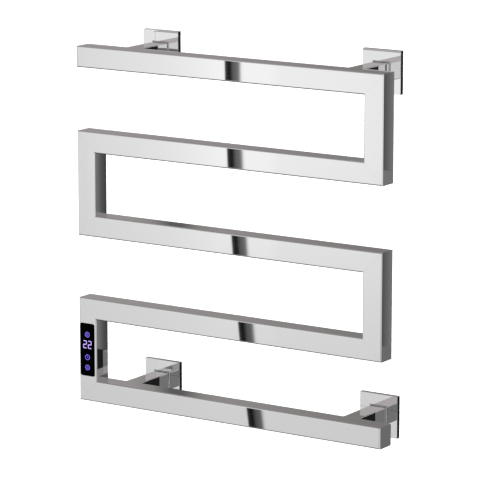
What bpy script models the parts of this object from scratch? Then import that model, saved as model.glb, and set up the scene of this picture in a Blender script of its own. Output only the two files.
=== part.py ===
"""Electric towel warmer rack.

A serpentine of polished square tube: five bars joined by four risers, each corner mitred.
Four square arms stand it off the wall. Every arm slips over a socket screwed to the wall,
and a square rosette slides along the arm to hide the fixing. A glass touch panel is set
into the lower left riser, with the control board, the wiring and two heating cables inside
the tubes.

Metres, +Z up, X to the right and Y towards the wall as one faces the rack. The origin is
on the wall plane, midway between the four wall fixings.
"""

import math

import bmesh
import bpy
from mathutils import Matrix, Vector

MM = 0.001

# Serpentine
RACK_WIDTH = 500 * MM
BAR_COUNT = 5
BAR_PITCH = 120 * MM
TUBE_FACE = 30 * MM
TUBE_DEPTH = 28 * MM
TUBE_WALL = 1.5 * MM
TUBE_FILLET = 1.5 * MM
END_CAP_THICKNESS = 2 * MM

# Wall brackets
WALL_TO_BARS = 88 * MM
ARM_INSET = 68 * MM
ARM_SIZE = 25 * MM
ARM_WALL = 3 * MM
ARM_FILLET = 1.0 * MM
ROSETTE_SIZE = 60 * MM
ROSETTE_DEPTH = 7 * MM
ROSETTE_SKIN = 2.2 * MM
ROSETTE_RIM = 3 * MM
ROSETTE_FILLET = 0.8 * MM
COLLAR_WALL = 1.1 * MM
COLLAR_PROUD = 1.4 * MM
COLLAR_LENGTH = 3.4 * MM
COLLAR_FILLET = 0.5 * MM
FLANGE_SIZE = 50 * MM
FLANGE_THICKNESS = 3 * MM
SPIGOT_LENGTH = 28 * MM
SCREW_HOLE_SPACING = 38 * MM
SCREW_HOLE_DIAMETER = 5.4 * MM
SCREW_HEAD_DIAMETER = 9 * MM
GRUB_DIAMETER = 5 * MM
GRUB_FROM_WALL = 20 * MM
GRUB_KEY_ACROSS_FLATS = 2.5 * MM
GRUB_KEY_DEPTH = 1.4 * MM

# Supply inlet, in the lower left socket
SPIGOT_BORE = 12 * MM
GROMMET_BORE = 7 * MM
GROMMET_LENGTH = 9 * MM
GROMMET_LIP = 1.5 * MM
GROMMET_LIP_DEPTH = 1 * MM
LEAD_HOLE_DIAMETER = 14 * MM
SUPPLY_LEAD_DIAMETER = 6 * MM
SUPPLY_LEAD_BEND = 12 * MM

# Touch control, in the lower left riser
GLASS_WIDTH = 24.6 * MM
GLASS_HEIGHT = 76.5 * MM
GLASS_THICKNESS = 1.5 * MM
GLASS_PROUD = 0.3 * MM
GLASS_CORNER = 3 * MM
GLASS_EDGE_MARGIN = 2 * MM
HOUSING_MARGIN = 0.6 * MM
HOUSING_DEPTH = 12 * MM
HOUSING_WALL = 1.2 * MM
GASKET_THICKNESS = 0.6 * MM
GASKET_WIDTH = 1.6 * MM
BOARD_THICKNESS = 1.2 * MM
BOARD_BEHIND_RIM = 3.2 * MM
BOARD_SCREW_DIAMETER = 2.2 * MM
BOARD_SCREW_HEAD = 4 * MM
BOARD_SCREW_HEAD_HEIGHT = 1.5 * MM
BOARD_SCREW_LENGTH = 5 * MM
BOARD_SCREW_FROM_END = 4 * MM
POST_WALL = 1.1 * MM
KEY_DROPS = (16.3 * MM, 49 * MM, 63.9 * MM)
DIGITS_DROP = 30.8 * MM
DISPLAY_SIZE = (17 * MM, 2.6 * MM, 12.5 * MM)
SPRING_DIAMETER = 5 * MM
SPRING_WIRE = 0.6 * MM
SPRING_TURNS = 3
RELAY_SIZE = (15 * MM, 5.2 * MM, 20 * MM)
RELAY_DROP = 24 * MM
CAPACITOR_DIAMETER = 5 * MM
CAPACITOR_LENGTH = 12 * MM
CAPACITOR_DROP = 44 * MM
CONNECTOR_SIZE = (14 * MM, 5 * MM, 8 * MM)
CONNECTOR_DROP = 60 * MM

# Wiring and heating
HEATING_CABLE_DIAMETER = 4.5 * MM
HEATING_CABLE_BEND = 14 * MM
HEATING_CABLE_OFFSET = 5 * MM
END_SEAL_TO_CAP = 10 * MM
END_SEAL_DIAMETER = 6.5 * MM
END_SEAL_LENGTH = 12 * MM
TERMINAL_BLOCK_SIZE = (11 * MM, 12 * MM, 22 * MM)
TERMINAL_RECESS_DIAMETER = 4 * MM
TERMINAL_RECESS_DEPTH = 3 * MM
TERMINAL_WAYS = 3
CONTROL_LEAD_DIAMETER = 4.5 * MM
FUSE_DIAMETER = 4.5 * MM
FUSE_LENGTH = 14 * MM
SENSOR_SIZE = (6 * MM, 4 * MM, 9 * MM)
EARTH_STUD_DIAMETER = 4 * MM
EARTH_STUD_LENGTH = 8 * MM
EARTH_NUT_ACROSS_FLATS = 7 * MM
EARTH_NUT_THICKNESS = 3 * MM

# Fits
GAP = 0.3 * MM
OVERCUT = 2 * MM
ROUND_SEGMENTS = 20
SMALL_SEGMENTS = 16
FILLET_SEGMENTS = 2
CORNER_SEGMENTS = 4
BEND_POINTS = 6

# Places that follow from the sizes above
BAR_FRONT = -(WALL_TO_BARS + TUBE_DEPTH)
BAR_BACK = -WALL_TO_BARS
TUBE_MID = (BAR_FRONT + BAR_BACK) / 2
RISER_X = (RACK_WIDTH - TUBE_FACE) / 2
ARM_X = RACK_WIDTH / 2 - ARM_INSET
ARM_BORE = ARM_SIZE - 2 * ARM_WALL
SPIGOT_SIZE = ARM_BORE - 2 * GAP
ARM_WALL_END = -(FLANGE_THICKNESS + GAP)
COLLAR_BORE = ARM_SIZE + 2 * GAP
COLLAR_OUTSIDE = COLLAR_BORE + 2 * COLLAR_WALL
ROSETTE_WINDOW = COLLAR_OUTSIDE + 2 * GAP
GROMMET_BODY = SPIGOT_BORE - 2 * GAP
CAVITY_BACK = BAR_BACK - TUBE_WALL
CAVITY_FACE = TUBE_FACE - 2 * TUBE_WALL

GLASS_X = -RACK_WIDTH / 2 + GLASS_EDGE_MARGIN + GLASS_WIDTH / 2
GLASS_FRONT = BAR_FRONT - GLASS_PROUD
GLASS_BACK = GLASS_FRONT + GLASS_THICKNESS
GASKET_FRONT = GLASS_BACK + GAP
HOUSING_FRONT = GASKET_FRONT + GASKET_THICKNESS + GAP
HOUSING_BACK = HOUSING_FRONT + HOUSING_DEPTH
HOUSING_WIDTH = GLASS_WIDTH - 2 * HOUSING_MARGIN
HOUSING_HEIGHT = GLASS_HEIGHT - 2 * HOUSING_MARGIN
BOARD_FRONT = HOUSING_FRONT + BOARD_BEHIND_RIM
BOARD_BACK = BOARD_FRONT + BOARD_THICKNESS
CABLE_X = GLASS_X + HEATING_CABLE_OFFSET
CABLE_Y = HOUSING_FRONT + HOUSING_DEPTH / 2

CORNERS = (("top_left", -1, 0), ("top_right", 1, 0),
           ("bottom_left", -1, BAR_COUNT - 1), ("bottom_right", 1, BAR_COUNT - 1))
INLET_CORNER = "bottom_left"


def bar_z(index):
    """Height of a bar's centre line; bar 0 is the top one."""
    return BAR_PITCH * ((BAR_COUNT - 1) / 2 - index)


def riser_side(index):
    """Side of the riser below a bar: the first is on the right, then left, and so on."""
    return 1 if index % 2 == 0 else -1


CONTROL_RISER = BAR_COUNT - 2
CONTROL_Z = (bar_z(CONTROL_RISER) + bar_z(CONTROL_RISER + 1)) / 2
GLASS_TOP = CONTROL_Z + GLASS_HEIGHT / 2
HOUSING_TOP = CONTROL_Z + HOUSING_HEIGHT / 2
HOUSING_BOTTOM = CONTROL_Z - HOUSING_HEIGHT / 2


# ---------------------------------------------------------------- scene and materials

def clear_scene():
    for item in list(bpy.data.objects):
        bpy.data.objects.remove(item, do_unlink=True)


def finish(name, colour, roughness, metallic):
    """A Principled material."""
    material = bpy.data.materials.new(name)
    material.use_nodes = True
    shader = material.node_tree.nodes["Principled BSDF"]
    shader.inputs["Base Color"].default_value = (*colour, 1.0)
    shader.inputs["Roughness"].default_value = roughness
    shader.inputs["Metallic"].default_value = metallic
    return material


def part(name, bm, material, location=(0, 0, 0), rotation=(0, 0, 0), smooth=False):
    """Make one named object from a bmesh modelled about its own origin."""
    bmesh.ops.recalc_face_normals(bm, faces=bm.faces)
    mesh = bpy.data.meshes.new(name)
    bm.to_mesh(mesh)
    bm.free()
    mesh.materials.append(material)
    if smooth:
        mesh.shade_smooth()
        mesh.set_sharp_from_angle(angle=math.radians(35))
    item = bpy.data.objects.new(name, mesh)
    item.location = location
    item.rotation_euler = rotation
    bpy.context.collection.objects.link(item)
    return item


def boolean(target, bm, location=(0, 0, 0), operation="DIFFERENCE"):
    """Cut a shape from a part, or join it on; the shape is placed in the world."""
    name = f"{target.name}_{operation.lower()}_{len(target.modifiers)}"
    tool = part(name, bm, target.data.materials[0], location)
    tool.hide_render = True
    tool.display_type = "WIRE"
    step = target.modifiers.new(name, "BOOLEAN")
    step.object = tool
    step.operation = operation
    step.solver = "EXACT"


# ---------------------------------------------------------------- basic shapes

def block(size, centre=(0, 0, 0)):
    """A box of the given size."""
    bm = bmesh.new()
    bmesh.ops.create_cube(bm, size=1.0)
    bmesh.ops.scale(bm, vec=size, verts=bm.verts)
    bmesh.ops.translate(bm, vec=centre, verts=bm.verts)
    return bm


def edges_along(bm, axis):
    """Edges that run along one axis (0, 1 or 2)."""
    found = []
    for edge in bm.edges:
        run = edge.verts[1].co - edge.verts[0].co
        across = [abs(run[i]) for i in range(3) if i != axis]
        if max(across) < 1e-7:
            found.append(edge)
    return found


def round_edges(bm, edges, radius, segments):
    bmesh.ops.bevel(bm, geom=edges, offset=radius, offset_type="OFFSET", segments=segments,
                    profile=0.5, affect="EDGES", clamp_overlap=True, material=-1)
    return bm


def rounded_block(size, axis, radius, segments=FILLET_SEGMENTS):
    """A box whose four edges along one axis are rounded."""
    bm = block(size)
    return round_edges(bm, edges_along(bm, axis), radius, segments)


def rod(diameter, length, axis, segments=ROUND_SEGMENTS, end_diameter=None):
    """A round rod or cone about its own centre, along axis 0, 1 or 2."""
    bm = bmesh.new()
    tip = diameter if end_diameter is None else end_diameter
    bmesh.ops.create_cone(bm, cap_ends=True, segments=segments, radius1=diameter / 2,
                          radius2=tip / 2, depth=length)
    turn = {0: Matrix.Rotation(math.pi / 2, 3, "Y"), 1: Matrix.Rotation(-math.pi / 2, 3, "X"),
            2: Matrix.Identity(3)}[axis]
    bmesh.ops.rotate(bm, cent=(0, 0, 0), matrix=turn, verts=bm.verts)
    return bm


def turned(profile, segments=ROUND_SEGMENTS):
    """A ring turned about the Y axis from a closed outline of (radius, y) points."""
    bm = bmesh.new()
    outline = [bm.verts.new((radius, y, 0)) for radius, y in profile]
    loop = [bm.edges.new((outline[i], outline[(i + 1) % len(outline)])) for i in range(len(outline))]
    bmesh.ops.spin(bm, geom=outline + loop, cent=(0, 0, 0), axis=(0, 1, 0), angle=2 * math.pi,
                   steps=segments, use_merge=True)
    return bm


def draw_out(bm, face, shoulder, travel):
    """Inset a face by an even shoulder and pull what is left of it out along a vector."""
    bmesh.ops.inset_region(bm, faces=[face], thickness=shoulder, use_even_offset=True)
    grown = bmesh.ops.extrude_face_region(bm, geom=[face])
    tip = [item for item in grown["geom"] if isinstance(item, bmesh.types.BMVert)]
    bmesh.ops.translate(bm, vec=travel, verts=tip)
    bmesh.ops.delete(bm, geom=[face], context="FACES_ONLY")


def hexagon_prism(across_flats, length, axis):
    return rod(across_flats / math.cos(math.pi / 6), length, axis, segments=6)


def cable(name, points, diameter, material, resolution=2):
    """A round cable along a list of points."""
    curve = bpy.data.curves.new(name, "CURVE")
    curve.dimensions = "3D"
    curve.bevel_depth = diameter / 2
    curve.bevel_resolution = resolution
    curve.use_fill_caps = True
    line = curve.splines.new("POLY")
    line.points.add(len(points) - 1)
    for spot, place in zip(line.points, points):
        spot.co = (*place, 1.0)
    curve.materials.append(material)
    item = bpy.data.objects.new(name, curve)
    bpy.context.collection.objects.link(item)
    return item


def rounded_route(corners, radius):
    """Points along straight runs between the corners, each corner turned on an arc."""
    corners = [Vector(corner) for corner in corners]
    points = [corners[0]]
    for before, corner, after in zip(corners, corners[1:], corners[2:]):
        back = (before - corner).normalized()
        ahead = (after - corner).normalized()
        half = back.angle(ahead) / 2
        reach = radius / math.tan(half)
        centre = corner + (back + ahead).normalized() * radius / math.sin(half)
        start = corner + back * reach - centre
        end = corner + ahead * reach - centre
        sweep = start.angle(end)
        for step in range(BEND_POINTS):
            share = step / (BEND_POINTS - 1)
            arm = start * math.sin((1 - share) * sweep) + end * math.sin(share * sweep)
            points.append(centre + arm / math.sin(sweep))
    points.append(corners[-1])
    return points


# ---------------------------------------------------------------- serpentine

def mitred_tube(name, length, left_short, right_short, material, location, rotation=(0, 0, 0)):
    """A square tube along its own X axis.

    left_short and right_short give the side, +1 or -1 along the tube's own Z, that a 45 degree
    mitre shortens; 0 leaves that end square.
    """
    bm = block((length, TUBE_DEPTH, TUBE_FACE))
    set_back = GAP / 2 * math.sqrt(2)
    for vert in bm.verts:
        end = 1 if vert.co.x > 0 else -1
        side = 1 if vert.co.z > 0 else -1
        short_side = right_short if end > 0 else left_short
        if short_side:
            vert.co.x -= end * (set_back + (TUBE_FACE if side == short_side else 0))
    long_edges = [edge for edge in bm.edges if edge.verts[0].co.x * edge.verts[1].co.x < 0]
    round_edges(bm, long_edges, TUBE_FILLET, FILLET_SEGMENTS)
    tube = part(name, bm, material, location, rotation)
    bore = (length + 2 * OVERCUT, TUBE_DEPTH - 2 * TUBE_WALL, CAVITY_FACE)
    if rotation[1]:
        bore = (bore[2], bore[1], bore[0])
    boolean(tube, block(bore), location)
    return tube


def make_bar(index, material):
    """One horizontal bar; its mitres face the risers that it joins."""
    length = RACK_WIDTH
    middle = 0.0
    left_short = 0
    right_short = 0
    if index > 0:
        if riser_side(index - 1) > 0:
            right_short = 1
        else:
            left_short = 1
    if index < BAR_COUNT - 1:
        if riser_side(index) > 0:
            right_short = -1
        else:
            left_short = -1
    cap_space = END_CAP_THICKNESS + GAP
    if left_short == 0:
        length -= cap_space
        middle += cap_space / 2
    if right_short == 0:
        length -= cap_space
        middle -= cap_space / 2
    return mitred_tube(f"bar_tube_{index + 1}", length, left_short, right_short, material,
                       (middle, TUBE_MID, bar_z(index)))


def make_riser(index, material):
    """One upright tube between two bars, stood on end by a quarter turn about Y."""
    side = riser_side(index)
    middle = (bar_z(index) + bar_z(index + 1)) / 2
    return mitred_tube(f"riser_tube_{index + 1}", BAR_PITCH + TUBE_FACE, -side, -side, material,
                       (side * RISER_X, TUBE_MID, middle), (0, math.pi / 2, 0))


def make_end_cap(name, side, index, material):
    bm = rounded_block((END_CAP_THICKNESS, TUBE_DEPTH, TUBE_FACE), 0, TUBE_FILLET)
    x = side * (RACK_WIDTH - END_CAP_THICKNESS) / 2
    return part(name, bm, material, (x, TUBE_MID, bar_z(index)))


# ---------------------------------------------------------------- wall brackets

def make_arm(name, x, z, material):
    front = BAR_BACK + GAP
    length = ARM_WALL_END - front
    middle = (ARM_WALL_END + front) / 2
    bm = rounded_block((ARM_SIZE, length, ARM_SIZE), 1, ARM_FILLET)
    arm = part(name, bm, material, (x, middle, z))
    boolean(arm, block((ARM_BORE, length + 2 * OVERCUT, ARM_BORE)), (x, middle, z))
    hole = rod(GRUB_DIAMETER + 2 * GAP, ARM_WALL + 2 * OVERCUT, 2, SMALL_SEGMENTS)
    boolean(arm, hole, (x, -GRUB_FROM_WALL, z - (ARM_SIZE - ARM_WALL) / 2))
    return arm


def make_rosette(name, x, z, material):
    """A square cover plate, hollow behind, with a window for the arm and its collar."""
    back = -GAP
    depth = ROSETTE_DEPTH - GAP
    bm = rounded_block((ROSETTE_SIZE, depth, ROSETTE_SIZE), 1, ROSETTE_FILLET)
    front_edges = [edge for edge in bm.edges if max(v.co.y for v in edge.verts) < -depth / 2 + 1e-6]
    round_edges(bm, front_edges, ROSETTE_FILLET / 2, FILLET_SEGMENTS)
    rosette = part(name, bm, material, (x, back - depth / 2, z))
    recess_size = ROSETTE_SIZE - 2 * ROSETTE_RIM
    recess_front = -ROSETTE_DEPTH + ROSETTE_SKIN
    recess_depth = OVERCUT - recess_front
    recess = block((recess_size, recess_depth, recess_size))
    boolean(rosette, recess, (x, recess_front + recess_depth / 2, z))
    window = block((ROSETTE_WINDOW, ROSETTE_DEPTH + 2 * OVERCUT, ROSETTE_WINDOW))
    boolean(rosette, window, (x, -ROSETTE_DEPTH / 2, z))
    return rosette


def make_collar(name, rosette, material):
    """The square collar that lines the window and grips the arm; it rides with its rosette."""
    front = -(ROSETTE_DEPTH + COLLAR_PROUD)
    x, _, z = rosette.location
    middle = front + COLLAR_LENGTH / 2
    bm = block((COLLAR_OUTSIDE, COLLAR_LENGTH, COLLAR_OUTSIDE))
    lip = [edge for edge in bm.edges if max(v.co.y for v in edge.verts) < 0]
    round_edges(bm, lip, COLLAR_FILLET, FILLET_SEGMENTS)
    collar = part(name, bm, material)
    collar.parent = rosette
    collar.location = Vector((x, middle, z)) - rosette.location
    boolean(collar, block((COLLAR_BORE, COLLAR_LENGTH + 2 * OVERCUT, COLLAR_BORE)), (x, middle, z))
    return collar


def make_wall_socket(name, x, z, material, has_inlet):
    """A screwed flange with a square spigot that the arm slips over."""
    bm = block((FLANGE_SIZE, FLANGE_THICKNESS, FLANGE_SIZE))
    front = min(bm.faces, key=lambda face: face.calc_center_median().y)
    draw_out(bm, front, (FLANGE_SIZE - SPIGOT_SIZE) / 2, (0, -SPIGOT_LENGTH, 0))
    socket = part(name, bm, material, (x, -FLANGE_THICKNESS / 2, z))
    for side in (-1, 1):
        spot = z + side * SCREW_HOLE_SPACING / 2
        shank = rod(SCREW_HOLE_DIAMETER, FLANGE_THICKNESS + 2 * OVERCUT, 1, SMALL_SEGMENTS)
        boolean(socket, shank, (x, -FLANGE_THICKNESS / 2, spot))
        sink_depth = (SCREW_HEAD_DIAMETER - SCREW_HOLE_DIAMETER) / 2
        sink = rod(SCREW_HEAD_DIAMETER + 2 * GAP, sink_depth + GAP, 1, SMALL_SEGMENTS,
                   end_diameter=SCREW_HOLE_DIAMETER)
        boolean(socket, sink, (x, -FLANGE_THICKNESS + (sink_depth - GAP) / 2, spot))
    if has_inlet:
        reach = SPIGOT_LENGTH + FLANGE_THICKNESS
        middle = -reach / 2
        boolean(socket, block((SPIGOT_BORE, reach + 2 * OVERCUT, SPIGOT_BORE)), (x, middle, z))
        lip = rod(GROMMET_BODY + 2 * (GROMMET_LIP + GAP), GROMMET_LIP_DEPTH + GAP + OVERCUT, 1)
        boolean(socket, lip, (x, (OVERCUT - GROMMET_LIP_DEPTH - GAP) / 2, z))
    return socket


def make_grub_screw(name, x, z, material):
    """A short socket set screw in the underside of the arm; its tip presses on the spigot."""
    length = ARM_WALL - GAP
    low = z - ARM_SIZE / 2
    screw = part(name, rod(GRUB_DIAMETER, length, 2, SMALL_SEGMENTS), material,
                 (x, -GRUB_FROM_WALL, low + length / 2), smooth=True)
    key = hexagon_prism(GRUB_KEY_ACROSS_FLATS, GRUB_KEY_DEPTH + OVERCUT, 2)
    boolean(screw, key, (x, -GRUB_FROM_WALL, low + (GRUB_KEY_DEPTH - OVERCUT) / 2))
    return screw


def make_grommet(x, z, material):
    """The rubber bush where the supply cord enters; the square bore holds its round body."""
    bore = GROMMET_BORE / 2
    body = GROMMET_BODY / 2
    lip = body + GROMMET_LIP
    back = -GAP
    step = back - GROMMET_LIP_DEPTH
    tip = back - GROMMET_LENGTH
    profile = [(bore, back), (lip, back), (lip, step), (body, step), (body, tip), (bore, tip)]
    return part("cable_grommet", turned(profile), material, (x, 0, z), smooth=True)


# ---------------------------------------------------------------- touch control

def behind_glass(size, front, drop):
    """Place for a box whose front face and whose distance below the glass top are given."""
    return (GLASS_X, front + size[1] / 2, GLASS_TOP - drop)


def make_glass(riser, material):
    bm = rounded_block((GLASS_WIDTH, GLASS_THICKNESS, GLASS_HEIGHT), 1, GLASS_CORNER, CORNER_SEGMENTS)
    glass = part("touch_glass", bm, material, (GLASS_X, GLASS_FRONT + GLASS_THICKNESS / 2, CONTROL_Z))
    opening = (GLASS_WIDTH + 2 * GAP, TUBE_WALL + 2 * OVERCUT, GLASS_HEIGHT + 2 * GAP)
    cut = rounded_block(opening, 1, GLASS_CORNER + GAP, CORNER_SEGMENTS)
    boolean(riser, cut, (GLASS_X, BAR_FRONT + TUBE_WALL / 2, CONTROL_Z))
    return glass


def make_gasket(material):
    middle = (GLASS_X, GASKET_FRONT + GASKET_THICKNESS / 2, CONTROL_Z)
    gasket = part("glass_gasket", block((HOUSING_WIDTH, GASKET_THICKNESS, HOUSING_HEIGHT)), material, middle)
    window = (HOUSING_WIDTH - 2 * GASKET_WIDTH, GASKET_THICKNESS + 2 * OVERCUT,
              HOUSING_HEIGHT - 2 * GASKET_WIDTH)
    boolean(gasket, block(window), middle)
    return gasket


def board_screw_places():
    inset = HOUSING_HEIGHT / 2 - HOUSING_WALL - BOARD_SCREW_FROM_END
    return (("upper", CONTROL_Z + inset), ("lower", CONTROL_Z - inset))


def make_housing(material):
    """A tray, open towards the glass, with two posts that the board is screwed to."""
    middle_y = HOUSING_FRONT + HOUSING_DEPTH / 2
    housing = part("control_housing", block((HOUSING_WIDTH, HOUSING_DEPTH, HOUSING_HEIGHT)), material,
                   (GLASS_X, middle_y, CONTROL_Z))
    floor = HOUSING_BACK - HOUSING_WALL
    hollow_depth = floor - HOUSING_FRONT + OVERCUT
    hollow = (HOUSING_WIDTH - 2 * HOUSING_WALL, hollow_depth, HOUSING_HEIGHT - 2 * HOUSING_WALL)
    boolean(housing, block(hollow), (GLASS_X, floor - hollow_depth / 2, CONTROL_Z))
    pilot = BOARD_SCREW_DIAMETER + 2 * GAP
    post_front = BOARD_BACK + GAP
    post_length = floor + HOUSING_WALL / 2 - post_front
    for _, z in board_screw_places():
        post = rod(pilot + 2 * POST_WALL, post_length, 1, SMALL_SEGMENTS)
        boolean(housing, post, (GLASS_X, post_front + post_length / 2, z), "UNION")
        pilot_length = BOARD_SCREW_LENGTH + OVERCUT
        tip = BOARD_FRONT + BOARD_SCREW_LENGTH + GAP
        boolean(housing, rod(pilot, pilot_length, 1, SMALL_SEGMENTS),
                (GLASS_X, tip - pilot_length / 2, z))
    return housing


def make_board(material):
    width = HOUSING_WIDTH - 2 * (HOUSING_WALL + GAP)
    height = HOUSING_HEIGHT - 2 * (HOUSING_WALL + GAP)
    middle_y = (BOARD_FRONT + BOARD_BACK) / 2
    board = part("control_board", block((width, BOARD_THICKNESS, height)), material,
                 (GLASS_X, middle_y, CONTROL_Z))
    for _, z in board_screw_places():
        hole = rod(BOARD_SCREW_DIAMETER + 2 * GAP, BOARD_THICKNESS + 2 * OVERCUT, 1, SMALL_SEGMENTS)
        boolean(board, hole, (GLASS_X, middle_y, z))
    return board


def make_board_screw(name, z, material):
    """A pan head screw, turned as one solid about its own axis."""
    shank = BOARD_SCREW_DIAMETER / 2
    head = BOARD_SCREW_HEAD / 2
    seat = -GAP
    top = seat - BOARD_SCREW_HEAD_HEIGHT
    bm = rod(2 * head, BOARD_SCREW_HEAD_HEIGHT, 1, SMALL_SEGMENTS)
    bmesh.ops.translate(bm, vec=(0, (seat + top) / 2, 0), verts=bm.verts)
    under = max(bm.faces, key=lambda face: face.calc_center_median().y)
    shoulder = (head - shank) * math.cos(math.pi / SMALL_SEGMENTS)
    draw_out(bm, under, shoulder, (0, BOARD_SCREW_LENGTH - seat, 0))
    return part(name, bm, material, (GLASS_X, BOARD_FRONT, z), smooth=True)


def make_touch_spring(name, drop, material):
    """A coil between the board and the glass, which feels the finger; it doesn't travel."""
    radius = (SPRING_DIAMETER - SPRING_WIRE) / 2
    back = BOARD_FRONT - GAP - SPRING_WIRE / 2
    front = GLASS_BACK + GAP + SPRING_WIRE / 2
    steps = SPRING_TURNS * 10
    points = []
    for step in range(steps + 1):
        angle = 2 * math.pi * SPRING_TURNS * step / steps
        y = back + (front - back) * step / steps
        points.append((GLASS_X + radius * math.cos(angle), y, GLASS_TOP - drop + radius * math.sin(angle)))
    return cable(name, points, SPRING_WIRE, material, resolution=1)


def make_board_pieces(plastic, metal, dark):
    part("digit_display", block(DISPLAY_SIZE), dark,
         behind_glass(DISPLAY_SIZE, BOARD_FRONT - GAP - DISPLAY_SIZE[1], DIGITS_DROP))
    part("relay", block(RELAY_SIZE), dark, behind_glass(RELAY_SIZE, BOARD_BACK + GAP, RELAY_DROP))
    part("board_connector", block(CONNECTOR_SIZE), plastic,
         behind_glass(CONNECTOR_SIZE, BOARD_BACK + GAP, CONNECTOR_DROP))
    can = (CAPACITOR_LENGTH, CAPACITOR_DIAMETER, CAPACITOR_DIAMETER)
    part("capacitor", rod(CAPACITOR_DIAMETER, CAPACITOR_LENGTH, 0, SMALL_SEGMENTS), metal,
         behind_glass(can, BOARD_BACK + GAP, CAPACITOR_DROP), smooth=True)


# ---------------------------------------------------------------- heating and wiring

def make_heating_cables(silicone, seal_material):
    """Two cables leave the control housing: one climbs through every tube above it."""
    last = BAR_COUNT - 1
    climb = [(CABLE_X, CABLE_Y, HOUSING_TOP + GAP)]
    for index in range(CONTROL_RISER, -1, -1):
        from_side = riser_side(index)
        from_x = CABLE_X if index == CONTROL_RISER else from_side * RISER_X
        climb.append((from_x, CABLE_Y, bar_z(index)))
        if index > 0:
            climb.append((-from_side * RISER_X, CABLE_Y, bar_z(index)))
    far_side = -riser_side(0)
    reach = RACK_WIDTH / 2 - END_CAP_THICKNESS - END_SEAL_TO_CAP - END_SEAL_LENGTH - GAP
    far_x = far_side * reach
    climb.append((far_x, CABLE_Y, bar_z(0)))
    cable("heating_cable_upper", rounded_route(climb, HEATING_CABLE_BEND), HEATING_CABLE_DIAMETER, silicone)

    low_side = -riser_side(CONTROL_RISER)
    low_x = low_side * reach
    drop = [(CABLE_X, CABLE_Y, HOUSING_BOTTOM - GAP), (CABLE_X, CABLE_Y, bar_z(last)),
            (low_x, CABLE_Y, bar_z(last))]
    cable("heating_cable_lower", rounded_route(drop, HEATING_CABLE_BEND), HEATING_CABLE_DIAMETER, silicone)

    for name, side, x, z in (("upper", far_side, far_x, bar_z(0)), ("lower", low_side, low_x, bar_z(last))):
        centre = x + side * (GAP + END_SEAL_LENGTH / 2)
        bm = rod(END_SEAL_DIAMETER, END_SEAL_LENGTH, 0, SMALL_SEGMENTS)
        part(f"cable_end_seal_{name}", bm, seal_material, (centre, CABLE_Y, z), smooth=True)


def terminal_block_place():
    """The block stands in the corner below the control, against the outer wall."""
    x = -RACK_WIDTH / 2 + TUBE_WALL + GAP + TERMINAL_BLOCK_SIZE[0] / 2
    z = bar_z(BAR_COUNT - 1) - CAVITY_FACE / 2 + GAP + TERMINAL_BLOCK_SIZE[2] / 2
    return Vector((x, TUBE_MID, z))


def make_terminal_block(material):
    place = terminal_block_place()
    body = part("terminal_block", block(TERMINAL_BLOCK_SIZE), material, place)
    front = place.y - TERMINAL_BLOCK_SIZE[1] / 2
    for way in range(TERMINAL_WAYS):
        z = place.z + TERMINAL_BLOCK_SIZE[2] * ((way + 0.5) / TERMINAL_WAYS - 0.5)
        recess = rod(TERMINAL_RECESS_DIAMETER, TERMINAL_RECESS_DEPTH + OVERCUT, 1, SMALL_SEGMENTS)
        boolean(body, recess, (place.x, front + (TERMINAL_RECESS_DEPTH - OVERCUT) / 2, z))
    return body


def make_leads(rubber):
    """The supply lead runs from the grommet through the lower left arm to the terminal block,

    behind the heating cable; a short straight lead goes on up to the control housing.
    """
    place = terminal_block_place()
    z = bar_z(BAR_COUNT - 1)
    inlet_end = -(GAP + GROMMET_LENGTH + GAP)
    supply_y = place.y + (TERMINAL_BLOCK_SIZE[1] - SUPPLY_LEAD_DIAMETER) / 2
    block_right = place.x + TERMINAL_BLOCK_SIZE[0] / 2
    supply = [(-ARM_X, inlet_end, z), (-ARM_X, supply_y, z), (block_right + GAP, supply_y, z)]
    cable("supply_lead", rounded_route(supply, SUPPLY_LEAD_BEND), SUPPLY_LEAD_DIAMETER, rubber)

    lead_y = HOUSING_BACK - HOUSING_WALL - CONTROL_LEAD_DIAMETER / 2
    block_top = place.z + TERMINAL_BLOCK_SIZE[2] / 2
    rise = [(place.x, lead_y, block_top + GAP), (place.x, lead_y, HOUSING_BOTTOM - GAP)]
    cable("control_lead", rise, CONTROL_LEAD_DIAMETER, rubber)


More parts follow.
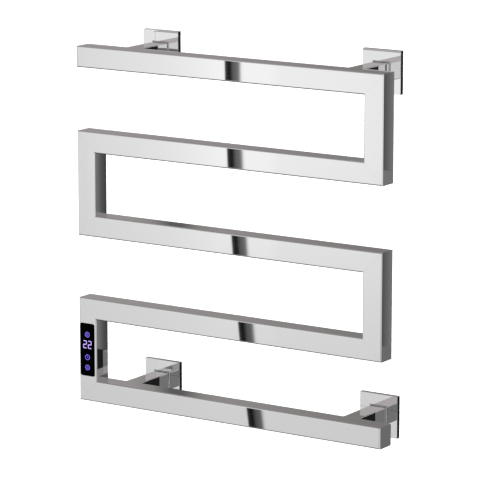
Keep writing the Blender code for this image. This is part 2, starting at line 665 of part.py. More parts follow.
def make_safety_pieces(metal, dark):
    """Above the housing, a thermal fuse and a sensor; below it, the earth stud and its nut."""
    fuse_x = -RACK_WIDTH / 2 + TUBE_WALL + GAP + FUSE_DIAMETER / 2
    fuse_z = HOUSING_TOP + GAP + FUSE_LENGTH / 2
    part("thermal_fuse", rod(FUSE_DIAMETER, FUSE_LENGTH, 2, SMALL_SEGMENTS), metal,
         (fuse_x, CAVITY_BACK - GAP - FUSE_DIAMETER / 2, fuse_z), smooth=True)
    sensor_x = -RACK_WIDTH / 2 + TUBE_FACE - TUBE_WALL - GAP - SENSOR_SIZE[0] / 2
    part("temperature_sensor", block(SENSOR_SIZE), dark,
         (sensor_x, CAVITY_BACK - GAP - SENSOR_SIZE[1] / 2, HOUSING_TOP + GAP + SENSOR_SIZE[2] / 2))

    nut_width = EARTH_NUT_ACROSS_FLATS / math.cos(math.pi / 6)
    earth_x = -RACK_WIDTH / 2 + TUBE_FACE - TUBE_WALL - GAP - nut_width / 2
    earth_z = HOUSING_BOTTOM - GAP - nut_width / 2
    stud_back = CAVITY_BACK - GAP
    part("earth_stud", rod(EARTH_STUD_DIAMETER, EARTH_STUD_LENGTH, 1, SMALL_SEGMENTS), metal,
         (earth_x, stud_back - EARTH_STUD_LENGTH / 2, earth_z), smooth=True)
    nut_y = stud_back - EARTH_STUD_LENGTH / 2
    nut = part("earth_nut", hexagon_prism(EARTH_NUT_ACROSS_FLATS, EARTH_NUT_THICKNESS, 1), metal,
               (earth_x, nut_y, earth_z))
    thread = rod(EARTH_STUD_DIAMETER + 2 * GAP, EARTH_NUT_THICKNESS + 2 * OVERCUT, 1, SMALL_SEGMENTS)
    boolean(nut, thread, (earth_x, nut_y, earth_z))


# ---------------------------------------------------------------- assembly

def main():
    clear_scene()
    polished = finish("polished_steel", (0.80, 0.80, 0.81), 0.06, 1.0)
    plain_steel = finish("plain_steel", (0.62, 0.62, 0.63), 0.3, 1.0)
    black_steel = finish("black_steel", (0.05, 0.05, 0.05), 0.45, 1.0)
    rubber = finish("black_rubber", (0.03, 0.03, 0.03), 0.7, 0.0)
    glass_black = finish("black_glass", (0.01, 0.01, 0.012), 0.04, 0.0)
    plastic = finish("grey_plastic", (0.25, 0.25, 0.26), 0.5, 0.0)
    dark_plastic = finish("black_plastic", (0.04, 0.04, 0.045), 0.45, 0.0)
    circuit = finish("circuit_board", (0.02, 0.16, 0.07), 0.5, 0.0)
    silicone = finish("red_silicone", (0.45, 0.06, 0.04), 0.55, 0.0)
    white_plastic = finish("white_plastic", (0.75, 0.75, 0.72), 0.45, 0.0)

    bars = [make_bar(index, polished) for index in range(BAR_COUNT)]
    risers = [make_riser(index, polished) for index in range(BAR_COUNT - 1)]
    make_end_cap("end_cap_top", -riser_side(0), 0, polished)
    make_end_cap("end_cap_bottom", -riser_side(CONTROL_RISER), BAR_COUNT - 1, polished)

    for name, side, index in CORNERS:
        x = side * ARM_X
        z = bar_z(index)
        make_arm(f"bracket_arm_{name}", x, z, polished)
        rosette = make_rosette(f"rosette_{name}", x, z, polished)
        make_collar(f"rosette_collar_{name}", rosette, polished)
        make_wall_socket(f"wall_socket_{name}", x, z, plain_steel, name == INLET_CORNER)
        make_grub_screw(f"grub_screw_{name}", x, z, black_steel)

    lead_hole = rod(LEAD_HOLE_DIAMETER, TUBE_WALL + 2 * OVERCUT, 1)
    boolean(bars[-1], lead_hole, (-ARM_X, BAR_BACK - TUBE_WALL / 2, bar_z(BAR_COUNT - 1)))
    make_grommet(-ARM_X, bar_z(BAR_COUNT - 1), rubber)

    make_glass(risers[CONTROL_RISER], glass_black)
    make_gasket(rubber)
    make_housing(dark_plastic)
    make_board(circuit)
    for name, z in board_screw_places():
        make_board_screw(f"board_screw_{name}", z, plain_steel)
    for number, drop in enumerate(KEY_DROPS, start=1):
        make_touch_spring(f"touch_spring_{number}", drop, plain_steel)
    make_board_pieces(white_plastic, plain_steel, dark_plastic)

    make_heating_cables(silicone, plastic)
    make_terminal_block(white_plastic)
    make_leads(rubber)
    make_safety_pieces(plain_steel, dark_plastic)


main()
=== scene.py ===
# %% [markdown]
# # A towel warmer in mirror chrome
#
# The object is a wall heater for towels: five square bars joined by four short risers into one
# long zigzag, held off the wall by four square arms. The shape and the sizes come from a packed
# model that is already exact. This lesson gives it its looks: rounded edges that catch the light,
# chrome that mirrors a quiet studio, a black glass touch panel with lit marks, and an honest
# finish for every hidden part.
#
# The first step loads that model and keeps each part where it stands; nothing here changes its
# size.

import math

import bmesh
import bpy
from mathutils import Matrix, Vector


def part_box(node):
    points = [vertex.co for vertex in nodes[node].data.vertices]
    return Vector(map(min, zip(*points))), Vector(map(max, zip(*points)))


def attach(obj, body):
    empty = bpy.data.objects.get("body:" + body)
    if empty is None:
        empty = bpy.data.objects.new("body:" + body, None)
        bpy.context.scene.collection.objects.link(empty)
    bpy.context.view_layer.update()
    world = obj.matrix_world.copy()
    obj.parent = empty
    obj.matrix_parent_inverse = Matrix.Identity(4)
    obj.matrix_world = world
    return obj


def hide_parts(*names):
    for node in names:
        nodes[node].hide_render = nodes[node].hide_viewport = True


MM = 0.001
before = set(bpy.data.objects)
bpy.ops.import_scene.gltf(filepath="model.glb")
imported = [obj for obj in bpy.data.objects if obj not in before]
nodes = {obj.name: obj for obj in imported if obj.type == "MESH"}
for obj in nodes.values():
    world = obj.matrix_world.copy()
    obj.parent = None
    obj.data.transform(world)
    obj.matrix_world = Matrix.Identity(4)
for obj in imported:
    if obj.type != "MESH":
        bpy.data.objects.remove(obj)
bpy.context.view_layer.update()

# %% [markdown]
# ## The camera
#
# A long lens stands a little to the right and above, and looks slightly down, so the five bars
# stay almost parallel. The camera is placed by the point it looks at, a distance and two angles,
# which are easier to judge than raw coordinates.

# %% Camera
AIM = Vector((0.0243, -0.116, 0.0080))
DISTANCE = 4.230
SWING = math.radians(33.34)
DIP = math.radians(11.35)
LENS = 232.0
SEE_AS_FAR_AS = 200

away = Vector((
    math.sin(SWING) * math.cos(DIP),
    -math.cos(SWING) * math.cos(DIP),
    math.sin(DIP),
))
lens = bpy.data.cameras.new("lens")
lens.lens = LENS
lens.clip_end = SEE_AS_FAR_AS
camera = bpy.data.objects.new("camera", lens)
camera.location = AIM + away * DISTANCE
camera.rotation_euler = (math.pi / 2 - DIP, 0, SWING)
bpy.context.scene.collection.objects.link(camera)
bpy.context.scene.camera = camera
bpy.context.scene.view_settings.view_transform = "Standard"
print("camera at", [round(value, 3) for value in camera.location])

# %% [markdown]
# ## Writing node trees as sums
#
# Materials are small programs made of nodes. Placing each node by hand hides the idea, so one
# class wraps a socket and lets Python's own signs add the Math nodes: `1 - dust * 0.3` becomes two
# nodes.

# %% Wires
class Wire:
    """One output socket; plus, minus, times and divide add Math nodes."""

    def __init__(self, tree, socket):
        self.tree = tree
        self.socket = socket

    def join(self, operation, first, second):
        return self.tree.add("Math", {"operation": operation}, {0: first, 1: second})

    def __add__(self, other):
        return self.join("ADD", self, other)

    def __radd__(self, other):
        return self.join("ADD", other, self)

    def __sub__(self, other):
        return self.join("SUBTRACT", self, other)

    def __rsub__(self, other):
        return self.join("SUBTRACT", other, self)

    def __mul__(self, other):
        return self.join("MULTIPLY", self, other)

    def __rmul__(self, other):
        return self.join("MULTIPLY", other, self)

    def __truediv__(self, other):
        return self.join("DIVIDE", self, other)

    def __rtruediv__(self, other):
        return self.join("DIVIDE", other, self)


print("a wire adds, subtracts, multiplies and divides")

# %% [markdown]
# A second class owns the tree and adds any other kind of node, its settings first and then its
# inputs. Two things come back in every finish, a point on the piece and a mix of two colours, so
# the tree has a short name for each. A node's sockets are known by number where names repeat.

# %% Trees
OBJECT_POINT = 3
MIX_FACTOR, MIX_FIRST, MIX_SECOND, MIX_RESULT = 0, 6, 7, 2


class Tree:
    """A node tree that is filled from Python expressions."""

    def __init__(self, owner):
        owner.use_nodes = True
        self.nodes = owner.node_tree.nodes
        self.links = owner.node_tree.links
        self.nodes.clear()

    def add(self, kind, settings=None, inputs=None, output=0):
        node = self.nodes.new("ShaderNode" + kind)
        for key, value in (settings or {}).items():
            if key == "stops":
                self.set_stops(node.color_ramp, value)
            else:
                setattr(node, key, value)
        for key, value in (inputs or {}).items():
            if isinstance(value, Wire):
                self.links.new(value.socket, node.inputs[key])
            else:
                node.inputs[key].default_value = value
        return Wire(self, node.outputs[output]) if len(node.outputs) else node

    def point(self):
        """The place on the piece, in metres."""
        return self.add("TexCoord", output=OBJECT_POINT)

    def mix(self, factor, first, second):
        """Two colours mixed by a wire."""
        colours = {MIX_FACTOR: factor, MIX_FIRST: (*first, 1), MIX_SECOND: (*second, 1)}
        return self.add("Mix", {"data_type": "RGBA"}, colours, output=MIX_RESULT)

    def set_stops(self, ramp, stops):
        while len(ramp.elements) < len(stops):
            ramp.elements.new(1.0)
        for element, (place, tone) in zip(ramp.elements, stops):
            element.position = place
            element.color = tone if len(tone) == 4 else (*tone, 1.0)


print("a tree adds nodes, points and mixes")

# %% [markdown]
# ## The studio
#
# Chrome has almost no colour of its own: what one sees on it is the room. So the room is the
# most important material here. It is drawn as a soft world: a pale floor that grows a little
# darker towards the object, warm grey walls above the horizon, a dim ceiling, a black cloth at
# the back right and one slim dark strip at the front left. Such a strip is set up beside polished
# metal on purpose: it draws one crisp dark bar across every face, and that bar says "mirror".
#
# A direction is read as two angles: the bearing round the object and the height above the horizon.

# %% Directions in the world
world = bpy.data.worlds.new("studio")
bpy.context.scene.world = world
sky = Tree(world)
ray = sky.add("TexCoord")
axes = sky.add("SeparateXYZ", inputs={0: ray}).socket.node
across, depth, rise = (Wire(sky, axes.outputs[i]) for i in range(3))
DEGREES = 180 / math.pi
bearing = sky.add("Math", {"operation": "ARCTAN2"}, {0: across, 1: depth * -1.0}) * DEGREES
height = sky.add("Math", {"operation": "ARCSINE"}, {0: rise}) * DEGREES


def between(tree, value, low, high, smooth=True):
    """0 below low, 1 above high, with an even or an eased step between them."""
    kind = "SMOOTHSTEP" if smooth else "LINEAR"
    settings = {"interpolation_type": kind, "clamp": True}
    return tree.add("MapRange", settings, {0: value, 1: low, 2: high, 3: 0.0, 4: 1.0})


def band(tree, value, rise, fall):
    """1 between two eased edges and 0 outside them; each edge is a (start, end) pair."""
    return between(tree, value, *rise) * (1 - between(tree, value, *fall))


def curve(tree, value, points):
    """A broken line through (value, result) points, as a ramp of greys."""
    low, high = points[0][0], points[-1][0]
    top = max(result for _, result in points)
    stops = [((x - low) / (high - low), (y / top,) * 3) for x, y in points]
    place = between(tree, value, low, high, smooth=False)
    return tree.add("ValToRGB", {"stops": stops}, {0: place}) * top


print("bearing and height are in degrees")

# %% [markdown]
# The floor half is built first, as the front faces see it. One curve gives its tone by height. A
# second one says how much brighter the floor is in the middle, where a lamp shines on it, and a
# third spreads that extra light over the bearings. A fourth curve shades the floor all round: a
# little darker at the far left, so that the left edges of the tubes get a fine grey outline, and
# bright up to the right, so that the right edges get a light one. Last, the near floor at the
# right is darker. Only the sides of the arms see it, by way of their rosettes.

# %% Tones of the floor half
CHROME_TONE = 0.80
RIGHT_FLOOR = ((5, 20), (42, 55))
floor_tone = curve(sky, height, [
    (-90, 0.10), (-40, 0.12), (-22, 0.35), (-16, 0.56), (-14.3, 0.587), (-12.7, 0.618),
    (-11.1, 0.649), (-9.6, 0.679), (-8, 0.687), (0, 0.75),
])
extra_tone = curve(sky, height, [
    (-90, 0.02), (-16, 0.03), (-14.4, 0.042), (-12.9, 0.08), (-11.3, 0.155), (-9.8, 0.20),
    (-8, 0.205), (0, 0.22),
])
extra_spread = curve(sky, bearing, [
    (-60, 0.2), (-38, 0.0), (-36.4, 0.0), (-36.0, 0.12), (-35.5, 0.24), (-34.8, 0.43),
    (-34.4, 0.61), (-34.0, 0.83), (-33.8, 1.0), (-32.8, 1.0), (-32.6, 0.76), (-31.8, 0.71),
    (-30.8, 0.62), (-24, 0.35), (0, 0.3),
])
round_shade = curve(sky, bearing, [
    (-180, 1.3), (-105, 1.3), (-88, 0.45), (-60, 0.45), (-44, 1.0), (40, 1.0), (95, 0.95),
    (120, 0.3), (180, 0.16),
])
right_shade = curve(sky, height, [(-90, 0.3), (-13.5, 0.33), (-9.5, 0.85), (0, 0.85)])
at_right = band(sky, bearing, *RIGHT_FLOOR)
front_floor = (floor_tone + extra_tone * extra_spread) * round_shade
front_floor = front_floor * (1 - at_right * (1 - right_shade))
print("floor tones:", len(sky.nodes), "nodes so far")

# %% [markdown]
# The dark strip leans a little, so its edge moves with the height. Its left side is crisp and
# black; its right side fades through a mid grey, as thin cloth with a soft edge does.

# %% The slim dark strip
STRIP_TOP = -7.35
STRIP_LEAN = 0.0082
STRIP_BEARING = -33.626
STRIP_SIDE = ((-60, -50), (-20, -10))
lean = height - STRIP_TOP
from_edge = bearing - (lean * lean * STRIP_LEAN + STRIP_BEARING)
strip = curve(sky, from_edge, [
    (-0.1, 1.0), (-0.017, 1.0), (0.009, 0.035), (0.065, 0.012), (0.097, 0.015), (0.116, 0.05),
    (0.157, 0.115), (0.224, 0.16), (0.25, 0.22), (0.273, 0.42), (0.303, 0.86), (0.346, 1.0),
    (0.45, 1.0),
])
in_front = band(sky, bearing, *STRIP_SIDE)
strip_shade = 1 - (1 - strip) * in_front
print("strip at bearing", STRIP_BEARING)

# %% [markdown]
# The black cloth at the back right turns right-hand sides dark, which is what separates a bright
# front from its own side. Above the horizon the walls are a warm grey with two soft dark spots,
# where stands are in the room, and they shade into the ceiling between 25 and 60 degrees. A thin
# white band lies along the horizon itself, so that a level view still ends in a clean backdrop.

# %% Cloth, walls and ceiling
CEILING = 0.25
CEILING_EDGE = (25, 60)
HORIZON = 0.82
HORIZON_TOP = (5.0, 7.2)
HORIZON_FOOT = (-5.0, -3.5)
SPOT_DEPTH = 0.62
WARM_WALL = (1.045, 0.985, 0.98)
CLOTH_SPAN = ((95, 120), (170, 179))
cloth = band(sky, bearing, *CLOTH_SPAN)
cloth_tone = curve(sky, height, [(-90, 0.02), (-20, 0.010), (-8, 0.014), (0, 0.03)])
low_half = front_floor * strip_shade * (1 - cloth) + cloth_tone * cloth
wall_tone = curve(sky, bearing, [
    (-180, 0.2), (-149, 0.175), (-147, 0.232), (-145.5, 0.248), (-143.5, 0.272), (-100, 0.42),
    (0, 0.45), (180, 0.2),
])
overhead = between(sky, height, *CEILING_EDGE)
horizon_glow = 1 - between(sky, height, *HORIZON_TOP)
spot_across = curve(sky, bearing, [
    (-146.3, 0), (-145.9, 0.25), (-145.55, 1), (-145.35, 1), (-145.0, 0.25), (-144.6, 0),
])
spot_up = curve(sky, height, [
    (10.2, 0), (10.6, 1), (11.6, 1), (11.9, 0), (13.5, 0), (13.8, 1), (14.7, 1), (15.2, 0),
])
wall_tone = wall_tone * (1 - spot_across * spot_up * SPOT_DEPTH)
high_half = wall_tone * (1 - overhead) + overhead * CEILING
high_half = high_half * (1 - horizon_glow) + horizon_glow * HORIZON
is_high = between(sky, height, *HORIZON_FOOT)
tone = (low_half * (1 - is_high) + high_half * is_high) / CHROME_TONE
warm = is_high * (1 - horizon_glow) * (1 - overhead)
tint = sky.mix(warm, (1, 1, 1), WARM_WALL)
shown = sky.add("VectorMath", {"operation": "SCALE"}, {0: tint, "Scale": tone})
studio_light = sky.add("Background", inputs={"Color": shown, "Strength": 1.0})
sky.add("OutputWorld", inputs={0: studio_light})
print("studio nodes:", len(sky.nodes))

# %% [markdown]
# The floor itself is a plain pale sheet one metre below the rack's middle, and a wide soft sun
# overhead lights it. The world already holds what the steel sees of a floor, so the sheet and the
# sun are kept out of mirrors.

# %% Floor and light
FLOOR_DROP = 1.0
FLOOR_REACH = 60
SUN_SPREAD = math.radians(50)
SUN_POWER = 4.2
floor_mesh = bpy.data.meshes.new("floor")
bm = bmesh.new()
bmesh.ops.create_grid(bm, x_segments=1, y_segments=1, size=FLOOR_REACH)
bmesh.ops.translate(bm, verts=bm.verts, vec=(0, 0, -FLOOR_DROP))
bm.to_mesh(floor_mesh)
bm.free()
floor = bpy.data.objects.new("floor", floor_mesh)
floor.visible_glossy = False
bpy.context.scene.collection.objects.link(floor)

pale = bpy.data.materials.new("pale_floor")
paint = Tree(pale)
cloud = paint.add("TexNoise", inputs={"Vector": paint.point(), "Scale": 3.0, "Detail": 2.0})
bare = paint.mix(cloud, (0.90, 0.90, 0.90), (0.93, 0.93, 0.93))
matte = paint.add("BsdfPrincipled", inputs={"Base Color": bare, "Roughness": 0.9})
paint.add("OutputMaterial", inputs={0: matte})
floor_mesh.materials.append(pale)

sun = bpy.data.lights.new("soft_sun", "SUN")
sun.angle = SUN_SPREAD
sun.energy = SUN_POWER
sun_place = bpy.data.objects.new("soft_sun", sun)
sun_place.location = (0.0, 0.0, 3.0)
sun_place.visible_glossy = False
bpy.context.scene.collection.objects.link(sun_place)
print("floor at", -FLOOR_DROP, "sun", sun.energy)

# %% [markdown]
# ## Grey boards behind the rack
#
# The world is endlessly far away, so two parallel faces always mirror the same spot of it. Real
# rooms are near, and there the side of a tube and the side of an arm show different things. Small
# grey boards give that back. They stand behind the rack, where each one is met by the mirror rays
# of one group of faces only, and they are hidden from the camera, from plain light and from
# shadows. A board has one tone, or a curve of tones along its width, which is how a side gets its
# soft gradient from front to back. Places and sizes are in millimetres.

# %% Grey boards
FAR = 150
NEAR = 110
RIGHT = ((388, 0.185), (399, 0.125), (409, 0.075), (520, 0.07))
INNER = ((-90, 0.04), (-77, 0.045), (-66, 0.085), (-56, 0.165), (-40, 0.17))
BOARDS = (
    ("board_right_high", FAR, 388, 520, 72, 270, RIGHT),
    ("board_right_upper", FAR, 388, 520, 20, 72, 0.165),
    ("board_right_middle", FAR, 388, 520, -185, 20, RIGHT),
    ("board_right_low", FAR, 388, 520, -380, -185, 0.14),
    ("board_inner_high", NEAR, -90, -40, -41, 62, INNER),
    ("board_inner_low", NEAR, -90, -40, -243, -191, INNER),
    ("board_left_low", NEAR, -340, -285, -330, -235, 0.11),
    ("board_behind_riser", FAR, -460, -385, -139, -100, 0.6),
    ("board_arm_high_left", FAR, 30, 90, 192, 235, 0.9),
    ("board_arm_mid_left", FAR, 30, 90, 150, 192, 0.19),
    ("board_arm_low_left", FAR, 30, 90, -360, -280, 0.24),
    ("board_arm_high_right", FAR, 350, 388, 160, 235, 0.9),
    ("board_arm_low_right", FAR, 350, 388, -370, -285, 0.24),
)
UPRIGHT = Matrix.Rotation(math.pi / 2, 3, "X")
for name, plane, left, right, low, high, tones in BOARDS:
    if isinstance(tones, float):
        tones = ((left, tones), (right, tones))
    bm = bmesh.new()
    bmesh.ops.create_grid(bm, x_segments=1, y_segments=1, size=0.5)
    bmesh.ops.rotate(bm, verts=bm.verts, cent=(0, 0, 0), matrix=UPRIGHT)
    bmesh.ops.scale(bm, verts=bm.verts, vec=((right - left) * MM, 1, (high - low) * MM))
    bmesh.ops.translate(bm, verts=bm.verts,
                        vec=((left + right) / 2 * MM, plane * MM, (low + high) / 2 * MM))
    board_mesh = bpy.data.meshes.new(name)
    bm.to_mesh(board_mesh)
    bm.free()
    grey = bpy.data.materials.new(name)
    card = Tree(grey)
    along = card.add("SeparateXYZ", inputs={0: card.point()})
    tone_here = curve(card, along, [(x * MM, tone / CHROME_TONE) for x, tone in tones])
    even = card.add("CombineColor", inputs={0: tone_here, 1: tone_here, 2: tone_here})
    card.add("OutputMaterial", inputs={0: card.add("Emission", inputs={"Color": even})})
    board_mesh.materials.append(grey)
    board = bpy.data.objects.new(name, board_mesh)
    board.visible_camera = False
    board.visible_diffuse = False
    board.visible_shadow = False
    bpy.context.scene.collection.objects.link(board)
print("boards:", len(BOARDS))

# %% [markdown]
# ## Finishes
#
# Every finish starts in the same way: a point on the piece in metres, some noise at the size of
# the real thing, and a Principled shader. One helper does that common part. What is even all
# over goes straight on the shader; what varies is a wire.

# %% Common start of a finish
def finish(name, build, **constants):
    """A material; build(tree, point) returns the inputs that vary over the surface."""
    material = bpy.data.materials.new(name)
    tree = Tree(material)
    inputs = {**constants, **build(tree, tree.point())}
    shader = tree.add("BsdfPrincipled", inputs=inputs)
    tree.add("OutputMaterial", inputs={0: shader})
    return material


def noise(tree, point, size, detail=2.0, stretch=(1, 1, 1)):
    """Noise whose blotches are about size metres across, longer along a stretched axis."""
    scale = tuple(1 / part for part in stretch)
    placed = tree.add("Mapping", inputs={"Vector": point, "Scale": scale})
    return tree.add("TexNoise", inputs={"Vector": placed, "Scale": 1 / size, "Detail": detail})


def relief(tree, height_wire, depth_m):
    """A bump of a real depth in metres."""
    return tree.add("Bump", inputs={"Height": height_wire, "Strength": 1.0, "Distance": depth_m})


print("finish helpers ready")

# %% [markdown]
# ### Mirror chrome
#
# The rack is steel, ground, polished and plated. Close up there are three things on it: a very
# slight waviness left by the polishing wheel, hair-thin wipe marks that only change the gloss,
# and a faint cloud in the tone. All three are tiny, because a flat mirror shows any error at once.

# %% Mirror chrome
def chrome_look(tree, point):
    cloud = noise(tree, point, 60 * MM)
    wipes = noise(tree, point, 30 * MM, 3.0)
    wave = noise(tree, point, 60 * MM, 1.0)
    return {
        "Base Color": tree.mix(cloud, (0.795, 0.795, 0.800), (0.805, 0.805, 0.808)),
        "Roughness": 0.006 + wipes * 0.004,
        "Normal": relief(tree, wave, 1.5e-6),
    }


chrome = finish("polished_steel", chrome_look, Metallic=1.0)
print("made", chrome.name)

# %% [markdown]
# ### Hidden metals
#
# The wall sockets are zinc plated: a dull, slightly crystalline grey with rolling lines from the
# sheet. The small set screws are blackened steel, oily and a little brown where the key wears
# them. The bright metal parts of the wiring share the zinc finish.

# %% Zinc and blackened steel
def zinc_look(tree, point):
    grain = noise(tree, point, 0.6 * MM, 4.0)
    rolled = noise(tree, point, 2 * MM, 2.0, (1, 1, 20))
    return {
        "Base Color": tree.mix(grain, (0.50, 0.51, 0.53), (0.66, 0.66, 0.67)),
        "Roughness": 0.26 + rolled * 0.16,
        "Normal": relief(tree, grain, 0.01 * MM),
    }


def black_steel_look(tree, point):
    grain = noise(tree, point, 0.5 * MM, 3.0)
    return {
        "Base Color": tree.mix(grain, (0.020, 0.019, 0.018), (0.055, 0.048, 0.042)),
        "Roughness": 0.32 + grain * 0.2,
        "Normal": relief(tree, grain, 0.008 * MM),
    }


zinc = finish("plain_steel", zinc_look, Metallic=1.0)
black_steel = finish("black_steel", black_steel_look, Metallic=0.9)
print("made", zinc.name, black_steel.name)

# %% [markdown]
# ### Rubber, silicone and plastics
#
# Rubber is nearly black with a fine dry texture. Silicone sheath is smoother and lets a little
# light in. Moulded housings carry a fine spark-eroded grain from their mould. They differ only in
# a few numbers, so one look is shaped by its arguments.

# %% Moulded materials
def moulded(name, dark, light, grain_size, rough, depth_m, **constants):
    def look(tree, point):
        grain = noise(tree, point, grain_size, 4.0)
        patch = noise(tree, point, grain_size * 25, 2.0)
        return {
            "Base Color": tree.mix(patch, dark, light),
            "Roughness": rough + grain * 0.14,
            "Normal": relief(tree, grain, depth_m),
        }

    return finish(name, look, **constants)


rubber = moulded("black_rubber", (0.012, 0.012, 0.012), (0.024, 0.023, 0.022), 0.3 * MM, 0.62,
                 0.02 * MM)
silicone = moulded("red_silicone", (0.34, 0.035, 0.022), (0.46, 0.060, 0.040), 0.8 * MM, 0.42,
                   0.01 * MM)
grey_plastic = moulded("grey_plastic", (0.20, 0.20, 0.21), (0.27, 0.27, 0.28), 0.25 * MM, 0.48,
                       0.012 * MM)
black_plastic = moulded("black_plastic", (0.016, 0.016, 0.018), (0.034, 0.034, 0.038), 0.25 * MM,
                        0.44, 0.012 * MM)
white_plastic = moulded("white_plastic", (0.66, 0.65, 0.61), (0.78, 0.77, 0.73), 0.3 * MM, 0.40,
                        0.010 * MM)
print("made five moulded finishes")

# %% [markdown]
# ### Circuit board
#
# Under the green lacquer lie copper tracks, a shade lighter and a few hundredths of a millimetre
# proud. A Brick texture gives short straight runs with even spacing, which is all that tracks
# need here.

# %% Circuit board
def board_look(tree, point):
    turned_point = tree.add("Mapping", inputs={"Vector": point,
                                               "Rotation": (math.pi / 2, 0, 0)})
    tracks = tree.add("TexBrick", {"offset": 0.5}, {
        "Vector": turned_point, "Color1": (0, 0, 0, 1), "Color2": (0, 0, 0, 1),
        "Mortar": (1, 1, 1, 1), "Scale": 1.0, "Mortar Size": 0.25 * MM,
        "Brick Width": 5 * MM, "Row Height": 1.27 * MM, "Mortar Smooth": 0.1}, output=1)
    weave = noise(tree, point, 0.4 * MM, 2.0)
    return {
        "Base Color": tree.mix(tracks, (0.008, 0.085, 0.035), (0.020, 0.16, 0.070)),
        "Roughness": 0.22 + weave * 0.12,
        "Normal": relief(tree, tracks + weave * 0.2, 0.03 * MM),
    }


circuit_board = finish("circuit_board", board_look)
print("made", circuit_board.name)

# %% [markdown]
# ### Black glass and lit marks
#
# The touch panel is clear glass printed black on its back, so it reads as a deep, even black with
# a weak mirror on top. Finger wipes change only its roughness. The marks are lamps behind gaps in
# the print: a violet blue for the key marks and a paler lilac for the digits. Their glow varies a
# little at random over each mark.

# %% Glass and light
def glass_look(tree, point):
    wipes = noise(tree, point, 9 * MM, 2.0, (1, 1, 2.2))
    return {
        "Base Color": tree.mix(wipes, (0.0001, 0.0001, 0.0001), (0.0003, 0.0003, 0.0003)),
        "Roughness": 0.05 + wipes * 0.05,
    }


black_glass = finish("black_glass", glass_look, **{"Specular IOR Level": 0.006})


def lamp(name, dim, bright, power):
    def look(tree, point):
        speckle = noise(tree, point, 2.5 * MM, 1.0)
        return {
            "Base Color": tree.mix(speckle, (0.002, 0.002, 0.003), (0.004, 0.003, 0.006)),
            "Emission Color": tree.mix(speckle, dim, bright),
        }

    return finish(name, look, Roughness=0.3,
                  **{"Emission Strength": power, "Specular IOR Level": 0.006})


key_light = lamp("key_light", (0.155, 0.105, 0.66), (0.20, 0.14, 0.80), 1.6)
digit_light = lamp("digit_light", (0.46, 0.33, 0.95), (0.55, 0.41, 1.0), 1.4)
print("made", black_glass.name, key_light.name, digit_light.name)

# %% [markdown]
# ## Making and placing a piece
#
# A finished mesh becomes an object that sits at the origin with its place in its vertices. Its
# faces are smooth, edges sharper than the fillets stay sharp, and a Weighted Normal modifier
# keeps each big flat face truly flat. Without that modifier the fillets would bend the
# reflections of the whole face. Rounding is the same step for every shape, so it has its own
# short name.

# %% Piece helpers
SHARP_ANGLE = math.radians(40)
TINY = 1e-6
ROOT_TWO = math.sqrt(2)


def once(items):
    """Each item once, in the order they came."""
    return list(dict.fromkeys(items))


def bevel(bm, edges, radius, steps):
    """Round edges with arcs of the given number of steps."""
    bmesh.ops.bevel(bm, geom=edges, offset=radius, offset_type="OFFSET", segments=steps,
                    profile=0.5, affect="EDGES", clamp_overlap=True, material=-1)


def piece(name, bm, material, body, *stands_for):
    bmesh.ops.recalc_face_normals(bm, faces=bm.faces)
    mesh = bpy.data.meshes.new(name)
    bm.to_mesh(mesh)
    bm.free()
    mesh.polygons.foreach_set("use_smooth", [True] * len(mesh.polygons))
    mesh.set_sharp_from_angle(angle=SHARP_ANGLE)
    mesh.materials.append(material)
    made = bpy.data.objects.new(name, mesh)
    bpy.context.scene.collection.objects.link(made)
    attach(made, body)
    if stands_for:
        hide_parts(*stands_for)
    return made


def flatten(made):
    """Keep the normals of big faces exactly flat."""
    steady = made.modifiers.new("steady_faces", "WEIGHTED_NORMAL")
    steady.mode = "FACE_AREA"
    steady.weight = 100
    steady.keep_sharp = True
    return made


print("pieces keep edges sharp above", round(math.degrees(SHARP_ANGLE)), "degrees")

# %% [markdown]
# Openings are cut with a second shape. The Boolean modifier is read once and its result kept as
# the piece's mesh, so the cutting shape can go again at once. The sizes of everything come from
# the boxes of the model's own nodes.

# %% Cutting and measuring
def cut(made, bm):
    """Take the shape in bm out of a piece, and keep the result as its mesh."""
    tool_mesh = bpy.data.meshes.new("tool")
    bm.to_mesh(tool_mesh)
    bm.free()
    tool = bpy.data.objects.new("tool", tool_mesh)
    bpy.context.scene.collection.objects.link(tool)
    step = made.modifiers.new("cut", "BOOLEAN")
    step.object = tool
    step.solver = "EXACT"
    graph = bpy.context.evaluated_depsgraph_get()
    result = bpy.data.meshes.new_from_object(made.evaluated_get(graph))
    made.modifiers.remove(step)
    bpy.data.objects.remove(tool)
    made.data = result
    return made


def middle_and_size(node):
    low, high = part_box(node)
    return (Vector(low) + Vector(high)) / 2, Vector(high) - Vector(low)


print("first bar in mm:", [round(value / MM, 1) for value in middle_and_size("bar_tube_1")[1]])

# %% [markdown]
# ## Square tube
#
# Real square tube is rolled from strip and welded, so its long edges are round and its walls are
# even. Here the outside and the inside are two open boxes with bevelled long edges. Each end is
# sliced by a plane, square or at 45 degrees, and the two loops there are bridged, which closes
# the wall and leaves the tube hollow. Slicing after bevelling gives a true mitre, because the
# fillet runs on into the corner. The front edges are rounder than the back ones, since only the
# front is dressed by hand.

# %% Tube builder
FILLET_STEPS = 5
TUBE_FILLET = 1.9 * MM
BACK_FILLET = 0.5 * MM
BORE_FILLET = 0.5 * MM
TUBE_WALL = 1.5 * MM


